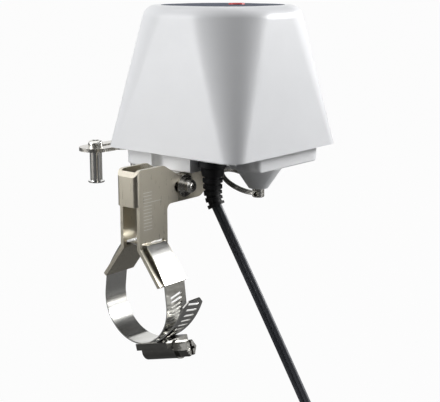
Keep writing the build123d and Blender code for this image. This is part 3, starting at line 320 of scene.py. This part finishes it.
# Fine graduation lines on the bracket's leg, 0.02 mm proud of it
mark_count, long_mark = 12, 3
mark_top, mark_pitch = 57.1, 1.7
mark_start, leg_face, mark_outset = -7.2 * MM, -6.7 * MM, 0.005 * MM
mark_thickness, mark_height = 0.03 * MM, 0.3 * MM
marks = bmesh.new()
for k in range(mark_count):
    reach = (12.4 if k == long_mark else 6.0) * MM
    place = Matrix.Translation((mark_start + reach / 2, leg_face - mark_outset,
                                (mark_top - mark_pitch * k) * MM))
    shape = Matrix.Diagonal((reach, mark_thickness, mark_height, 1))
    bmesh.ops.create_cube(marks, size=1, matrix=place @ shape)
mesh = bpy.data.meshes.new("leg_marks")
marks.to_mesh(mesh)
marks.free()
leg_marks = put("leg_marks", mesh, "mounting", mark_light, smooth=False)


# Light: soft boxes at the left, at the right, low at the right and above, and a dim surround
focus = Vector((0.05, 0, 0.08))


def soft_box(name, place, size, power):
    data = bpy.data.lights.new(name, "AREA")
    data.shape = "RECTANGLE"
    data.size, data.size_y = size
    data.energy = power
    lamp = bpy.data.objects.new(name, data)
    scene.collection.objects.link(lamp)
    aim = (focus - Vector(place)).to_track_quat("-Z", "Y").to_matrix().to_4x4()
    lamp.matrix_world = Matrix.Translation(place) @ aim


soft_box("box_left", (-0.95, 0.7, 0.5), (0.5, 1.0), 13)
soft_box("box_right", (1.0, -0.62, 0.5), (0.9, 0.28), 16)
soft_box("box_low", (0.5, -0.95, 0.02), (0.5, 0.2), 1.6)
soft_box("box_top", (0.1, 0.1, 1.3), (1.6, 1.6), 5.5)

# The surround is white where the camera or a mirror sees it, and dim as a light
world = bpy.data.worlds.new("surround")
scene.world = world
world.use_nodes = True
tree = world.node_tree
ground = tree.nodes["Background"]
ground.inputs["Color"].default_value = (1, 1, 1, 1)
ground.inputs["Strength"].default_value = 0.12
seen = tree.nodes.new("ShaderNodeBackground")
seen.inputs["Color"].default_value = (1, 1, 1, 1)
seen.inputs["Strength"].default_value = 1.0
rays = tree.nodes.new("ShaderNodeLightPath")
mirrored = tree.nodes.new("ShaderNodeMath")
mirrored.operation = "MAXIMUM"
mix = tree.nodes.new("ShaderNodeMixShader")
tree.links.new(rays.outputs["Is Camera Ray"], mirrored.inputs[0])
tree.links.new(rays.outputs["Is Glossy Ray"], mirrored.inputs[1])
tree.links.new(mirrored.outputs["Value"], mix.inputs["Fac"])
tree.links.new(ground.outputs["Background"], mix.inputs[1])
tree.links.new(seen.outputs["Background"], mix.inputs[2])
tree.links.new(mix.outputs["Shader"], tree.nodes["World Output"].inputs["Surface"])


def stage_look(name, colour, share):
    """A matt stage colour that the camera itself sees as white, by that share."""
    material, tree, shader = new_material(name)
    shader.inputs["Base Color"].default_value = (*colour, 1)
    shader.inputs["Roughness"].default_value = 0.9
    glow = tree.nodes.new("ShaderNodeEmission")
    glow.inputs["Color"].default_value = (1, 1, 1, 1)
    glow.inputs["Strength"].default_value = 1.0
    rays = tree.nodes.new("ShaderNodeLightPath")
    part = tree.nodes.new("ShaderNodeMath")
    part.operation = "MULTIPLY"
    part.inputs[1].default_value = share
    mix = tree.nodes.new("ShaderNodeMixShader")
    tree.links.new(rays.outputs["Is Camera Ray"], part.inputs[0])
    tree.links.new(part.outputs["Value"], mix.inputs["Fac"])
    tree.links.new(shader.outputs["BSDF"], mix.inputs[1])
    tree.links.new(glow.outputs["Emission"], mix.inputs[2])
    tree.links.new(mix.outputs["Shader"], tree.nodes["Material Output"].inputs["Surface"])
    return material


# Floor, a little below the lowest point
floor_gap, floor_half = 0.002, 12
floor_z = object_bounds()[0][2] - floor_gap
floor_corners = [(x * floor_half, y * floor_half, floor_z) for x, y in ((-1, -1), (1, -1), (1, 1), (-1, 1))]
floor = bpy.data.objects.new("floor", mesh_of("floor", floor_corners, [(0, 1, 2, 3)]))
scene.collection.objects.link(floor)
floor.data.materials.append(stage_look("floor_look", (0.09, 0.09, 0.09), 0.97))


# Dark and grey cards that the steel reflects: behind the camera, high up, and low on both sides
card_tint = (1, 0.97, 0.9)


def card(name, place, facing, size, shade):
    along = Vector((0, 0, 1)).cross(Vector(facing)).normalized() * size[0] / 2
    rise = Vector((0, 0, size[1] / 2))
    middle = Vector(place)
    corners = [middle - along - rise, middle + along - rise, middle + along + rise, middle - along + rise]
    board = bpy.data.objects.new(name, mesh_of(name, corners, [(0, 1, 2, 3)]))
    scene.collection.objects.link(board)
    board.data.materials.append(stage_look(name + "_look", [shade * part for part in card_tint], 1.0))


card("card_front", (-0.62, -0.66, 0.2), (0.69, 0.73, 0), (1.8, 0.7), 0.02)
card("card_high", (1.5, 0.05, 1.3), (-1, 0, 0), (1.7, 0.9), 0.03)
card("card_right", (0.5, -0.4, -0.055), (-0.78, 0.62, 0), (0.7, 0.11), 0.5)
card("card_left", (-0.5, 0.41, -0.055), (0.77, -0.63, 0), (0.5, 0.11), 0.8)
